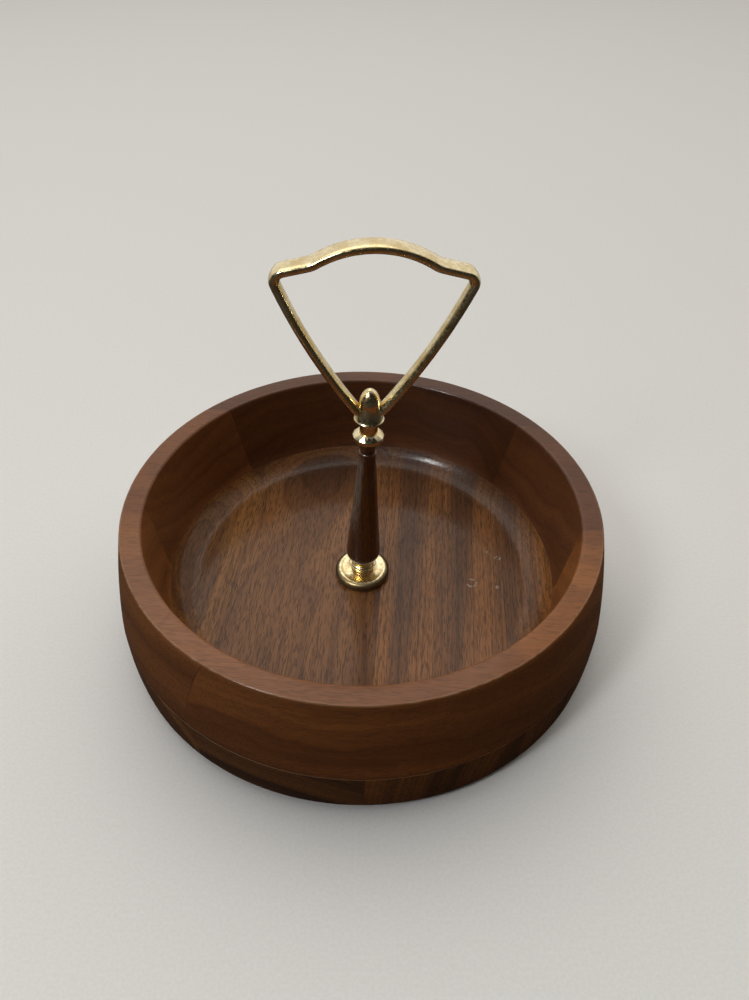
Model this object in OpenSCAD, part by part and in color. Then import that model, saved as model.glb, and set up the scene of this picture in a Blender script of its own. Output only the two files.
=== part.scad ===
// Turned walnut serving bowl on a hidden swivel base, with a brass loop handle on a centre post.
// Origin: centre of the surface that the feet stand on. +Z up, millimetres.

/* [Bowl] */
// Outside diameter at the top of the rim
rim_d = 240; // [200:1:280]
// How much the outside flares on its way down to the glue seam, on the radius
wall_flare = 7.2; // [3:0.1:10]
// Width of the flat rim
rim_w = 10.6; // [8:0.1:14]
// Height of the bowl from its underside to the rim
bowl_h = 70.5; // [64:0.5:90]
// Height of the upper ring, from the glue seam to the rim
ring_h = 44.4; // [36:0.1:46]
// Depth of the bowl at its flat floor
bowl_depth = 52.6; // [50:0.1:54]
// Depth of the crease where the wall meets the cove
crease_depth = 40.5; // [34:0.1:42]
// Taper of the inside wall, on the radius, from rim to crease
wall_taper = 5.7; // [2:0.1:8]
// Width of the cove between the crease and the flat floor
cove_w = 15.7; // [13:0.1:20]
// Gap between the bowl's underside and the surface it stands on
ground_gap = 2.5; // [2:0.1:5]

/* [Boards] */
// Turn of the board directions about the bowl's axis, clockwise seen from above
grain_turn = 4.3; // [0:0.1:20]
// Glue lines of the upper ring, measured across its boards from the axis
ring_glue_front = -105; // [-110:1:-90]
// Middle glue line of the upper ring
ring_glue_middle = -11; // [-40:1:40]
// Back glue line of the upper ring
ring_glue_back = 72; // [50:1:95]
// Left glue line of the lower layer, measured across its boards from the axis
floor_glue_left = -67; // [-90:1:-40]
// Middle glue line of the lower layer
floor_glue_middle = 11; // [8:1:30]
// Right glue line of the lower layer
floor_glue_right = 77; // [50:1:95]

/* [Post and handle] */
// Lean of the whole post to the right, degrees
post_lean = 1.5; // [0:0.1:2]
// Turn of the handle about the post, degrees anticlockwise seen from above
handle_turn = 3.1; // [0:0.1:45]
// Diameter of the brass flange on the floor
flange_d = 29.2; // [24:0.1:40]
// Largest diameter of the wooden spindle
spindle_d = 18; // [14:0.1:24]
// Diameter of the faceted bead
bead_d = 14.9; // [12:0.1:18]
// Height of the handle's crown above the floor of the bowl, at the middle of its bar
handle_top = 187.7; // [180:0.1:200]
// Thickness of the loop seen from the front
loop_t = 4.8; // [4:0.1:6]
// Depth of the top bar, front to back
bar_depth = 10; // [8:0.1:12]
// Depth of the two arms, front to back
arm_depth = 7.5; // [6:0.1:9]
// Diameter of the rod through the post
rod_d = 4.8; // [4:0.1:5]

/* [Swivel base] */
// Diameter of the base disc
disc_d = 176; // [170:1:180]
// Thickness of the base disc
disc_t = 5; // [4:0.1:5]
// How far the rubber feet stand below the disc
foot_drop = 1.5; // [1:0.1:1.5]
// Side of the square bearing plates
plate_w = 102; // [96:1:106]
// Thickness of the bearing plates
plate_t = 1.2; // [1:0.1:1.5]
// Radius of the circle that the balls run on
race_r = 38; // [37:0.5:40]
// Diameter of one ball
ball_d = 4.6; // [4:0.1:4.6]
// Number of balls
ball_count = 24; // [12:1:30]

/* [Hidden] */
$fn = 96;

walnut_light = "#7a4a33";
walnut_dark = "#5e3524";
brass = "#c9a04e";
steel = "#b9bcc0";
rubber = "#26221f";

rim_r = rim_d / 2;
seam_r = rim_r + wall_flare;
rim_z = ground_gap + bowl_h;
seam_z = rim_z - ring_h;
floor_z = rim_z - bowl_depth;
crease_z = rim_z - crease_depth;
inner_r = rim_r - rim_w;
crease_r = inner_r - wall_taper;
cove_h = bowl_depth - crease_depth;
// The cove is one arc, level where it runs into the floor
cove_end = 2 * atan(cove_h / cove_w);
cove_r = cove_w / sin(cove_end);
cove_start_r = crease_r - cove_w;
edge_r = 1;          // rounded edges of the rim
foot_edge_r = 3;     // rounded lower edge of the bowl
wall_belly = 0.7;    // how far the outside wall bows beyond a straight cone
arc_steps = 8;       // chords in a rounded stretch of an outline

disc_z = foot_drop;
disc_top = disc_z + disc_t;
floor_t = 6.4;                         // wood left between the floor and the recess
recess_z = floor_z - floor_t;          // ceiling of the recess under the bowl
recess_r = disc_d / 2 + 4;
bearing_h = recess_z - disc_top;
rod_hole_r = rod_d / 2 + 0.6;
far = 400;                             // larger than anything in the model
eps = 0.01;

// Points along an arc in the plane of an outline
function arc(cx, cy, r, from, to, n = arc_steps) =
    [for (i = [0:n]) let (a = from + (to - from) * i / n) [cx + r * cos(a), cy + r * sin(a)]];

// Outside of the upper ring: a cone with a slight belly
function wall_point(t) = [seam_r + (rim_r - seam_r) * t + wall_belly * 4 * t * (1 - t), seam_z + ring_h * t];

// Outline of the upper ring, from the seam up the outside and down the inside
function ring_outline() = concat(
    [for (i = [0:arc_steps]) wall_point(i / arc_steps * (1 - edge_r / ring_h))],
    arc(rim_r - edge_r, rim_z - edge_r, edge_r, 10, 90, 4),
    arc(inner_r + edge_r, rim_z - edge_r, edge_r, 90, 180, 4),
    [[crease_r, crease_z]],
    cove_arc(seam_z, crease_z)
);

// The part of the cove between two heights, from the top down
function cove_angle(z) = acos(1 - (z - floor_z) / cove_r);
function cove_arc(low, high) = let (a = cove_angle(high), b = cove_angle(low))
    [for (i = [1:arc_steps]) let (c = a + (b - a) * i / arc_steps)
        [cove_start_r + cove_r * sin(c), floor_z + cove_r * (1 - cos(c))]];

// Outline of the lower layer: side, rounded foot, recess, floor and cove
function lower_outline() = concat(
    [[rod_hole_r, floor_z], [rod_hole_r, recess_z], [recess_r, recess_z], [recess_r, ground_gap]],
    arc(seam_r - 1 - foot_edge_r, ground_gap + foot_edge_r, foot_edge_r, -90, 0, 5),
    [[seam_r, seam_z - 10], [seam_r, seam_z]],
    [[cove_start_r + cove_r * sin(cove_angle(seam_z)), seam_z]],
    cove_arc(floor_z, seam_z)
);

// A board of the upper ring: the space between two glue planes, in the boards' own directions.
// side is -1 or 1 for the left or right end of a board that crosses the bowl's opening.
module ring_board(from, to, side) {
    rotate([0, 0, -grain_turn])
        translate([side > 0 ? 0 : -far / 2, from, 0])
            cube([side == 0 ? far : far / 2, to - from, far]);
}

// A board of the lower layer, whose grain runs across that of the ring
module floor_board(from, to) {
    rotate([0, 0, -grain_turn])
        translate([from, -far / 2, 0])
            cube([to - from, far, far]);
}

module upper_ring() {
    rotate_extrude($fn = 180) polygon(ring_outline());
}

module lower_layer() {
    rotate_extrude($fn = 180) polygon(lower_outline());
}

module ring_piece(from, to, side = 0) {
    color(walnut_light) intersection() {
        upper_ring();
        ring_board(from, to, side);
    }
}

module floor_piece(from, to) {
    color(walnut_dark) difference() {
        intersection() {
            lower_layer();
            floor_board(from, to);
        }
        for (a = [0:90:270])
            rotate([0, 0, 45 + a])
                translate([plate_hole_r, 0, recess_z - eps])
                    cylinder(d = screw_d, h = screw_bite + eps, $fn = 32);
    }
}

module rim_front() { ring_piece(-far / 2, ring_glue_front); }
module rim_front_left() { ring_piece(ring_glue_front, ring_glue_middle, -1); }
module rim_front_right() { ring_piece(ring_glue_front, ring_glue_middle, 1); }
module rim_back_left() { ring_piece(ring_glue_middle, ring_glue_back, -1); }
module rim_back_right() { ring_piece(ring_glue_middle, ring_glue_back, 1); }
module rim_back() { ring_piece(ring_glue_back, far / 2); }

module floor_board_left() { floor_piece(-far / 2, floor_glue_left); }
module floor_board_middle_left() { floor_piece(floor_glue_left, floor_glue_middle); }
module floor_board_middle_right() { floor_piece(floor_glue_middle, floor_glue_right); }
module floor_board_right() { floor_piece(floor_glue_right, far / 2); }

// ---- Post -------------------------------------------------------------------------------
// Heights on the post are measured from the floor of the bowl, along the leaning post.
flange_h = 5.3;
flange_top_r = flange_d / 2 - 2.2;
ferrule_r = 6;
ferrule_lip_r = 7.2;
ferrule_lip_h = 8.8;      // top of the lip
ferrule_neck_r = 5.6;
ferrule_cap_r = 6.1;      // small ring under the spindle
ferrule_h = 12;
spindle_foot_r = 5.5;
spindle_top = 91.4;
spindle_neck_h = 86.5;
spindle_neck_r = 3.5;
neck_groove_r = 1.6;      // radius of the turned groove at the spindle's neck
taper_end_r = spindle_neck_r + 0.5;
taper_power = 1.15;       // above 1 the taper starts gently
taper_hollow = 0.12;      // how far the taper's sides are hollowed, as a share of its swell
bulge_h = 18.5;
bead_h = 6;
bead_face_r = 5.2;
neck_r = 4.4;
hub_base = 104.4;
hub_lip_r = 7.1;
hub_lip_t = 0.8;
hub_skirt_r = 6.7;
hub_waist_h = 113;        // the skirt ends here and the nose starts
hub_waist_r = 4.9;
hub_tip = 121;
rod_top = 116;
washer_r = 8;
washer_t = 1.2;
nut_af = 8;
nut_h = 4;
rod_below = 6.3;                       // rod below the floor's underside
seat_lift = ferrule_r * sin(post_lean);  // keeps the leaning ferrule clear of the level flange
nut_drop = nut_af / sqrt(3) * sin(post_lean) + 0.02;

module on_post() {
    translate([0, 0, floor_z + seat_lift]) rotate([0, post_lean, 0]) children();
}

module flange() {
    color(brass) translate([0, 0, floor_z]) rotate_extrude()
        polygon(concat(
            [[rod_hole_r, 0], [flange_d / 2 - 0.4, 0], [flange_d / 2, 0.6], [flange_d / 2, 1.8]],
            arc(flange_top_r - 0.6, 1.8, flange_d / 2 - flange_top_r + 0.6, 20, 70, 3),
            [[flange_top_r - 0.8, flange_h - 0.3], [flange_top_r - 1.6, flange_h - 0.5],
             [ferrule_r + 1.2, flange_h - 0.3], [ferrule_r + 0.4, flange_h], [rod_hole_r, flange_h]]
        ));
}

module post_ferrule() {
    color(brass) on_post() rotate_extrude()
        polygon([
            [rod_hole_r, flange_h], [ferrule_r, flange_h], [ferrule_r, ferrule_lip_h - 1.4],
            [ferrule_lip_r, ferrule_lip_h - 0.9], [ferrule_lip_r, ferrule_lip_h - 0.3],
            [ferrule_lip_r - 0.3, ferrule_lip_h], [ferrule_neck_r, ferrule_lip_h + 0.3],
            [ferrule_neck_r, ferrule_h - 1], [ferrule_cap_r, ferrule_h - 0.7],
            [ferrule_cap_r, ferrule_h - 0.2], [ferrule_cap_r - 0.2, ferrule_h], [rod_hole_r, ferrule_h]
        ]);
}

// Radius of the spindle above its bulge: a long, slightly hollow taper
function taper_r(t) = taper_end_r
    + (spindle_d / 2 - taper_end_r) * (1 - pow(t, taper_power)) * (1 - taper_hollow * sin(180 * t));

module spindle() {
    steps = 14;
    cone_top = spindle_neck_h - 2.5;
    under_r = spindle_foot_r - 0.4;      // the rounded underside of the bulge starts here
    color(walnut_dark) on_post() rotate_extrude()
        polygon(concat(
            [[rod_hole_r, ferrule_h], [spindle_foot_r, ferrule_h]],
            [for (a = [-70:14:0]) [under_r + (spindle_d / 2 - under_r) * cos(a),
                                   bulge_h + (bulge_h - ferrule_h) * sin(a)]],
            [for (i = [1:steps]) [taper_r(i / steps), bulge_h + (cone_top - bulge_h) * i / steps]],
            arc(spindle_neck_r + neck_groove_r, spindle_neck_h, neck_groove_r, 230, 130, 4),
            [[neck_r, spindle_top - 2], [neck_r + 0.2, spindle_top], [rod_hole_r, spindle_top]]
        ));
}

module faceted_bead() {
    slope_h = bead_h * 0.42;
    belt_h = bead_h - 2 * slope_h;
    color(brass) on_post() difference() {
        translate([0, 0, spindle_top]) rotate_extrude($fn = 12)
            polygon([
                [0, 0], [bead_face_r, 0], [bead_d / 2, slope_h], [bead_d / 2, slope_h + belt_h],
                [bead_face_r, bead_h], [0, bead_h]
            ]);
        translate([0, 0, spindle_top - 1]) cylinder(r = rod_hole_r, h = bead_h + 2);
    }
}

module threaded_rod() {
    color(steel) on_post()
        translate([0, 0, -floor_t - rod_below])
            cylinder(d = rod_d, h = floor_t + rod_below + rod_top);
}

module rod_washer() {
    color(steel) translate([0, 0, recess_z - washer_t]) difference() {
        cylinder(r = washer_r, h = washer_t);
        translate([0, 0, -1]) cylinder(r = rod_hole_r, h = washer_t + 2);
    }
}

module rod_nut() {
    nut_top = -floor_t - washer_t - seat_lift - nut_drop;
    color(steel) on_post() translate([0, 0, nut_top - nut_h]) difference() {
        intersection() {
            cylinder(d = nut_af / cos(30), h = nut_h, $fn = 6);
            cylinder(r1 = nut_af / 2 + 0.1, r2 = nut_af / 2 + 0.1 + nut_h, h = nut_h);
        }
        translate([0, 0, -1]) cylinder(d = rod_d, h = nut_h + 2);
    }
}

// ---- Handle -----------------------------------------------------------------------------
// The loop's centre line is a chain of tangent arcs in an upright plane: crown, shoulder,
// a straight run, corner and a gently bowed arm, then the same again on the other side.
crown_r = 46;
crown_half = 31;          // half of the crown's angle
shoulder_r = 13;
shoulder_slope = 13;      // slope of the bar where it runs into the corner
run = 10;                 // straight run from shoulder to corner
corner_r = 4.5;
arm_r = 277;
arm_top_lean = 22;        // lean of the arm at the corner, from the vertical
arm_foot_lean = 37.4;     // lean of the arm inside the hub
loop_edge = 0.8;          // chamfer at the two outer edges of the loop's section
lap = 1;                  // overlap of neighbouring stretches, in degrees or millimetres

crown_c = [0, handle_top - crown_r];
crown_end = crown_c + crown_r * [sin(crown_half), cos(crown_half)];
shoulder_c = crown_end + shoulder_r * [sin(crown_half), cos(crown_half)];
shoulder_end = shoulder_c - shoulder_r * [sin(shoulder_slope), cos(shoulder_slope)];
run_end = shoulder_end + run * [cos(shoulder_slope), -sin(shoulder_slope)];
corner_c = run_end - corner_r * [sin(shoulder_slope), cos(shoulder_slope)];
corner_end = corner_c + corner_r * [cos(arm_top_lean), -sin(arm_top_lean)];
arm_c = corner_end - arm_r * [cos(arm_top_lean), -sin(arm_top_lean)];

// Section of the loop: flat on the loop's outside and half an ellipse inside, its depth along Y.
// side is 1 if the outside points along +X, and -1 if it points along -X.
module loop_section(depth, side = 1) {
    t = loop_t / 2;
    d = depth / 2;
    e = loop_edge;
    scale([side, 1]) polygon(concat(
        [[t, e - d], [t, d - e]],
        [for (a = [0:20:180]) [t - e - (loop_t - e) * sin(a), d * cos(a)]]
    ));
}

// A stretch of loop along an arc: centre [u, h], radius, and angles in the handle's plane
module loop_arc(c, r, from, to, depth, side = 1) {
    translate([c[0], 0, c[1]]) rotate([90, 0, 0]) rotate([0, 0, from])
        rotate_extrude(angle = to - from, $fn = 180) translate([r, 0]) loop_section(depth, side);
}

// Everything below the crown on one side. Each stretch laps a little over the one before it.
module half_loop() {
    loop_arc(shoulder_c, shoulder_r, 270 - crown_half - lap, 270 - shoulder_slope, bar_depth, -1);
    translate([shoulder_end[0], 0, shoulder_end[1]]) rotate([0, 90 + shoulder_slope, 0])
        translate([0, 0, -lap / 2]) linear_extrude(run + lap) loop_section(bar_depth, -1);
    loop_arc(corner_c, corner_r, -arm_top_lean, 90 - shoulder_slope, bar_depth);
    loop_arc(arm_c, arm_r, -arm_foot_lean, -arm_top_lean + lap / 5, arm_depth);
}

module loop() {
    loop_arc(crown_c, crown_r, 90 - crown_half, 90 + crown_half, bar_depth);
    half_loop();
    mirror([1, 0, 0]) half_loop();
}

// Bullet-shaped hub: a thin lip, a skirt that narrows upwards, and a rounded nose
module hub() {
    skirt_h = hub_waist_h - hub_base - hub_lip_t;
    rotate_extrude()
        polygon(concat(
            [[0, spindle_top + bead_h], [neck_r, spindle_top + bead_h], [neck_r, hub_base],
             [hub_lip_r - 0.3, hub_base], [hub_lip_r, hub_base + 0.25], [hub_lip_r - 0.1, hub_base + 0.6]],
            [for (i = [0:6]) let (s = 1 - i / 6)
                [hub_waist_r + (hub_skirt_r - hub_waist_r) * s * s, hub_waist_h - skirt_h * s]],
            [for (i = [1:8]) let (t = sin(90 * i / 8))
                [hub_waist_r * pow(max(0, 1 - t * t), 0.6), hub_waist_h + (hub_tip - hub_waist_h) * t]]
        ));
}

module handle() {
    color(brass) on_post() rotate([0, 0, handle_turn]) difference() {
        union() {
            loop();
            hub();
        }
        translate([0, 0, spindle_top]) cylinder(d = rod_d, h = rod_top - spindle_top + eps);
    }
}

// ---- Swivel base ------------------------------------------------------------------------
plate_hole_r = 62;        // distance of the plates' screw holes from the axis
plate_corner = 8;
plate_bore_r = 31;
race_w = 8;
race_h = 2.2;
race_play = 0.05;
screw_d = 3;
screw_head_d = 6;
screw_head_h = 1.8;
screw_bite = 3.6;
screw_head_edge = 0.8;    // taper of the screw's head, on the radius
screw_play = 0.2;         // room at the tip of a screw
cross_w = 3;              // arms of the cross recess in a screw's head
cross_t = 0.7;
cross_depth = 0.9;
disc_edge = 1;            // chamfer round the base disc
foot_r = 7;
foot_edge = 1;            // chamfer round a foot
foot_inset = 1.5;
foot_count = 4;
foot_ring_r = 74;
access_r = 5;             // hole in the base disc for reaching the upper screws
access_turn = 22.5;
crimp_t = 0.9;
crimp_lip_w = 2;
crimp_room = 0.6;         // room between the crimp ring's wall and the upper plate's inner lip
crimp_gap = 0.2;          // room between the crimp ring's foot and the race
lip_t = 0.8;              // lip of the crimp ring and inner lip of the upper plate
lip_gap = 0.25;           // play above and below the crimp ring's lip
ball_z = disc_top + bearing_h / 2;

// A square plate with cut corners, a round middle opening and four screw holes
module plate_blank() {
    linear_extrude(plate_t) difference() {
        intersection() {
            square(plate_w, center = true);
            rotate(45) square(plate_w * sqrt(2) - plate_corner, center = true);
        }
        circle(r = plate_bore_r);
        for (a = [0:90:270])
            rotate(45 + a) translate([plate_hole_r, 0]) circle(d = screw_d, $fn = 32);
    }
}

// Raised track that the balls run on, with its groove open upwards
module race() {
    groove_r = ball_d / 2 + race_play;
    difference() {
        rotate_extrude()
            translate([race_r - race_w / 2, plate_t - eps]) square([race_w, race_h + eps]);
        rotate_extrude()
            translate([race_r, bearing_h / 2]) circle(r = groove_r, $fn = 48);
    }
}

module bearing_bottom_plate() {
    color(steel) translate([0, 0, disc_top]) union() {
        plate_blank();
        race();
    }
}

module bearing_top_plate() {
    lip_r = plate_bore_r + crimp_room;
    color(steel) translate([0, 0, recess_z]) mirror([0, 0, 1]) union() {
        plate_blank();
        race();
        translate([0, 0, plate_t + 2 * lip_gap + lip_t]) rotate_extrude()
            translate([lip_r, 0]) square([race_r - race_w / 2 - lip_r + eps, lip_t]);
    }
}

// Ring crimped to the lower plate; its upper lip holds the upper plate's inner lip down
module bearing_crimp_ring() {
    foot_z = disc_top + plate_t;
    lip_z = recess_z - plate_t - lip_gap - lip_t;
    lip_r = plate_bore_r + crimp_lip_w;
    foot_end_r = race_r - race_w / 2 - crimp_gap;
    color(steel) rotate_extrude() polygon([
        [plate_bore_r - crimp_t, disc_top], [plate_bore_r, disc_top], [plate_bore_r, foot_z],
        [foot_end_r, foot_z], [foot_end_r, foot_z + crimp_t], [plate_bore_r, foot_z + crimp_t],
        [plate_bore_r, lip_z], [lip_r, lip_z], [lip_r, lip_z + lip_t],
        [plate_bore_r - crimp_t, lip_z + lip_t]
    ]);
}

module bearing_balls() {
    color(steel)
        for (i = [0:ball_count - 1])
            rotate([0, 0, 360 * i / ball_count]) translate([race_r, 0, ball_z])
                sphere(d = ball_d, $fn = 32);
}

// Pan-head screw pointing up, its head's bearing face at z = 0
module plate_screw(length) {
    difference() {
        union() {
            cylinder(d = screw_d, h = length, $fn = 32);
            translate([0, 0, -screw_head_h / 2]) cylinder(d = screw_head_d, h = screw_head_h / 2);
            translate([0, 0, -screw_head_h])
                cylinder(d1 = screw_head_d - 2 * screw_head_edge, d2 = screw_head_d, h = screw_head_h / 2);
        }
        for (a = [0, 90])
            rotate([0, 0, a]) translate([-cross_w / 2, -cross_t / 2, -screw_head_h - eps])
                cube([cross_w, cross_t, cross_depth]);
    }
}

module top_plate_screws() {
    color(steel)
        for (a = [0:90:270])
            rotate([0, 0, 45 + a]) translate([plate_hole_r, 0, recess_z - plate_t])
                plate_screw(plate_t + screw_bite - screw_play);
}

module bottom_plate_screws() {
    color(steel)
        for (a = [0:90:270])
            rotate([0, 0, 45 + a]) translate([plate_hole_r, 0, disc_top + plate_t]) mirror([0, 0, 1])
                plate_screw(plate_t + screw_bite - screw_play);
}

module base_disc() {
    color(walnut_dark) difference() {
        translate([0, 0, disc_z]) rotate_extrude($fn = 180) polygon([
            [0, 0], [disc_d / 2 - disc_edge, 0], [disc_d / 2, disc_edge],
            [disc_d / 2, disc_t - disc_edge], [disc_d / 2 - disc_edge, disc_t], [0, disc_t]
        ]);
        for (a = [0:90:270])
            rotate([0, 0, 45 + a]) translate([plate_hole_r, 0, disc_top - screw_bite])
                cylinder(d = screw_d, h = screw_bite + eps, $fn = 32);
        for (i = [0:foot_count - 1])
            rotate([0, 0, 360 / foot_count * i]) translate([foot_ring_r, 0, disc_z - eps])
                cylinder(r = foot_r, h = foot_inset + eps);
        rotate([0, 0, access_turn]) translate([plate_hole_r, 0, disc_z - 1])
            cylinder(r = access_r, h = disc_t + 2);
    }
}

module rubber_feet() {
    color(rubber)
        for (i = [0:foot_count - 1])
            rotate([0, 0, 360 / foot_count * i]) translate([foot_ring_r, 0, 0])
                rotate_extrude() polygon([
                    [0, 0], [foot_r - foot_edge, 0], [foot_r, foot_edge], [foot_r, disc_z + foot_inset],
                    [0, disc_z + foot_inset]
                ]);
}

rim_front();
rim_front_left();
rim_front_right();
rim_back_left();
rim_back_right();
rim_back();
floor_board_left();
floor_board_middle_left();
floor_board_middle_right();
floor_board_right();
handle();
faceted_bead();
spindle();
post_ferrule();
flange();
threaded_rod();
rod_washer();
rod_nut();
bearing_top_plate();
top_plate_screws();
bearing_balls();
bearing_bottom_plate();
bearing_crimp_ring();
bottom_plate_screws();
base_disc();
rubber_feet();
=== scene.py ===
import math

import bmesh
import bpy
from mathutils import Matrix, Vector


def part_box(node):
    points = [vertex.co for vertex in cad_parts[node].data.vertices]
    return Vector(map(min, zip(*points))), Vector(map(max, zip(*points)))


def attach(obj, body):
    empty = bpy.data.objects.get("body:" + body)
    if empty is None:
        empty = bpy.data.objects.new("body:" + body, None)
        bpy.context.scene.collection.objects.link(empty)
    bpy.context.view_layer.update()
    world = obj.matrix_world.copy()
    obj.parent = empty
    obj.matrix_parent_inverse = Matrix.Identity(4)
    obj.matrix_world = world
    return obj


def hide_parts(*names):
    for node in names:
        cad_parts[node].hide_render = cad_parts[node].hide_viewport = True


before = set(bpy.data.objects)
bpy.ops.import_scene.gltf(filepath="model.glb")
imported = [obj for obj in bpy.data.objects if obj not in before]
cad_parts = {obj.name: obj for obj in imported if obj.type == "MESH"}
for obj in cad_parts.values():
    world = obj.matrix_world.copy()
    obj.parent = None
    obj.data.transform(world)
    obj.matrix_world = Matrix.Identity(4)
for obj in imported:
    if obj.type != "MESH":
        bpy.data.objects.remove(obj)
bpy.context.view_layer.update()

# Sizes are in millimetres, as in the part's source, and meshes are made in metres.
MM = 0.001

# ---- Driving sizes ------------------------------------------------------------------------
rim_r = 120.0            # outside of the rim
seam_r = 127.2           # outside at the glue seam
inner_r = 109.4          # inside of the rim
crease_r = 103.7         # foot of the inside wall
cove_w = 15.7            # width of the cove between the wall and the flat floor
cove_h = 12.1            # height of the crease above the floor
ring_h = 44.4            # height of the upper ring
bowl_depth = 52.6        # from the rim down to the floor
floor_t = 6.4            # wood between the floor and the recess underneath
recess_r = 92.0
recess_edge = 0.8        # chamfer at the mouth of the recess
wall_belly = 0.7         # how far the outside wall bows beyond a cone
rim_edge_r = 0.6         # rounded outer edge of the rim
inner_edge_r = 1.7       # rounded inner edge of the rim
foot_edge_r = 3.0        # rounded lower edge of the bowl
foot_taper = 1.0         # how much narrower the lower edge is than the seam, on the radius
straight_side = 10.0     # the side goes straight down from the seam for this far
knee_h, knee_in = 9.0, 0.35   # where the side draws in: height above the lower edge, and how far in
seam_edge_r = 0.35       # broken edges at the glue seam
bore_r = 3.0             # hole for the rod
grain_turn = math.radians(4.3)
post_lean = math.radians(1.5)
handle_turn = math.radians(3.1)
lathe_steps = 720        # steps round the bowl
post_steps = 128         # steps round the post

# Glue lines, measured across the boards from the axis
ring_glue = {"front": -105.0, "middle": -11.0, "back": 72.0}
floor_glue = {"left": -67.0, "middle": 11.0, "right": 77.0}

rim_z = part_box("rim_front")[1].z / MM
ground_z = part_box("floor_board_middle_left")[0].z / MM
seam_z = rim_z - ring_h
floor_z = rim_z - bowl_depth
crease_z = floor_z + cove_h
recess_z = floor_z - floor_t
cove_end = 2 * math.atan(cove_h / cove_w)
cove_r = cove_w / math.sin(cove_end)
cove_start_r = crease_r - cove_w


# ---- Mesh helpers -------------------------------------------------------------------------
def arc(cx, cy, r, start, end, steps):
    """Points on an arc, with its angles in degrees."""
    turns = [math.radians(start + (end - start) * i / steps) for i in range(steps + 1)]
    return [(cx + r * math.cos(a), cy + r * math.sin(a)) for a in turns]


def lathe(outline, steps, closed=True):
    """A mesh turned about Z from an outline of (radius, height). A closed outline makes a ring,
    and an open one starts and ends on the axis."""
    bm = bmesh.new()
    turns = [2 * math.pi * i / steps for i in range(steps)]
    rings = []
    for r, z in outline:
        around = turns if r > 1e-6 else [0.0]
        rings.append([bm.verts.new((r * MM * math.cos(a), r * MM * math.sin(a), z * MM)) for a in around])
    pairs = list(zip(rings, rings[1:]))
    if closed:
        pairs.append((rings[-1], rings[0]))
    for low, high in pairs:
        for i in range(steps):
            j = (i + 1) % steps
            corners = [low[i % len(low)], low[j % len(low)], high[j % len(high)], high[i % len(high)]]
            distinct = list(dict.fromkeys(corners))
            if len(distinct) > 2:
                bm.faces.new(distinct)
    bmesh.ops.recalc_face_normals(bm, faces=bm.faces)
    return bm


def piece(name, bm, body, node, material, sharp=35.0):
    """Finishes a mesh as a piece that rides on a body and stands for a CAD node."""
    mesh = bpy.data.meshes.new(name)
    bm.to_mesh(mesh)
    bm.free()
    for face in mesh.polygons:
        face.use_smooth = True
    mesh.set_sharp_from_angle(angle=math.radians(sharp))
    mesh.materials.append(material)
    obj = bpy.data.objects.new(name, mesh)
    bpy.context.scene.collection.objects.link(obj)
    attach(obj, body)
    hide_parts(node)


def cut(bm, point, normal):
    """Keeps the side of a closed mesh that the normal points to, and closes the cut."""
    everything = bm.verts[:] + bm.edges[:] + bm.faces[:]
    found = bmesh.ops.bisect_plane(
        bm, geom=everything, plane_co=point, plane_no=normal, clear_inner=True, dist=1e-7
    )
    edges = [e for e in found["geom_cut"] if isinstance(e, bmesh.types.BMEdge)]
    bmesh.ops.triangle_fill(bm, edges=edges, use_beauty=True)
    bmesh.ops.recalc_face_normals(bm, faces=bm.faces)


def on_post(bm, turn=0.0):
    """Stands a mesh, made with its heights above the bowl's floor, on the leaning post."""
    seat_lift = ferrule_r * math.sin(post_lean)
    move = Matrix.Translation((0, 0, (floor_z + seat_lift) * MM))
    bm.transform(move @ Matrix.Rotation(post_lean, 4, "Y") @ Matrix.Rotation(turn, 4, "Z"))
    return bm


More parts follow.
